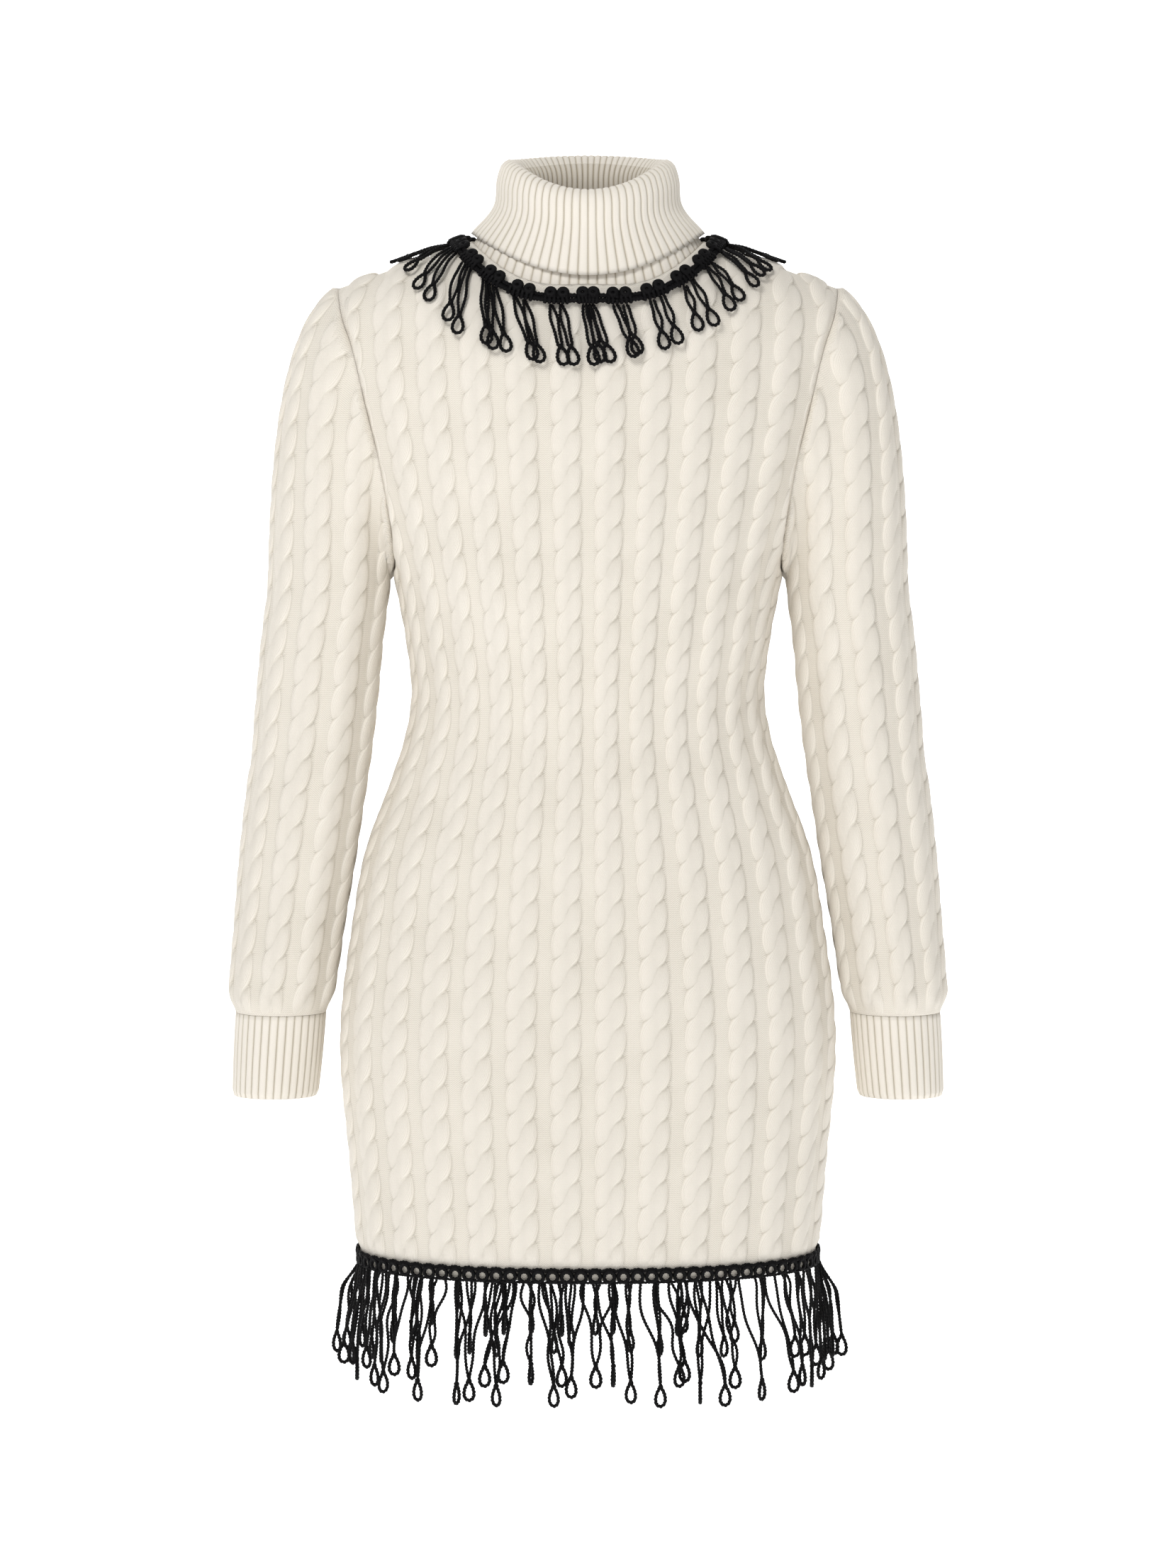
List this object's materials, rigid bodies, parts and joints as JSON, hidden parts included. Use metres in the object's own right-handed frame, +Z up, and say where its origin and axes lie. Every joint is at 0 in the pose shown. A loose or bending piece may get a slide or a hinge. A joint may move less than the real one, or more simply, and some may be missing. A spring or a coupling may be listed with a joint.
{
  "type": "sweater dress with ribbed turtleneck and crochet fringe",
  "caption": "Long-sleeved cable-knit sweater dress with a fold-over ribbed turtleneck and black crochet fringe at the neck seam and hem, filled out as worn.",
  "frame": {"origin": "midway between the two side neck points, on the middle of the neck opening", "axes": "+Z up towards the collar, -Y towards the garment's front, +X to the viewer's right"},
  "size_m": [0.5472, 0.224, 0.9325],
  "materials": {
    "knit_ivory": "soft matte wool-like knit",
    "crochet_black": "black crochet cord with a slight sheen"
  },
  "bodies": {
    "root": {"front_panel": "knit_ivory", "back_panel": "knit_ivory", "sleeve_left": "knit_ivory", "sleeve_right": "knit_ivory", "cuff_left": "knit_ivory", "cuff_right": "knit_ivory", "collar": "knit_ivory", "neck_fringe": "crochet_black", "hem_fringe_front": "crochet_black", "hem_fringe_back": "crochet_black"}
  },
  "joints": []
}
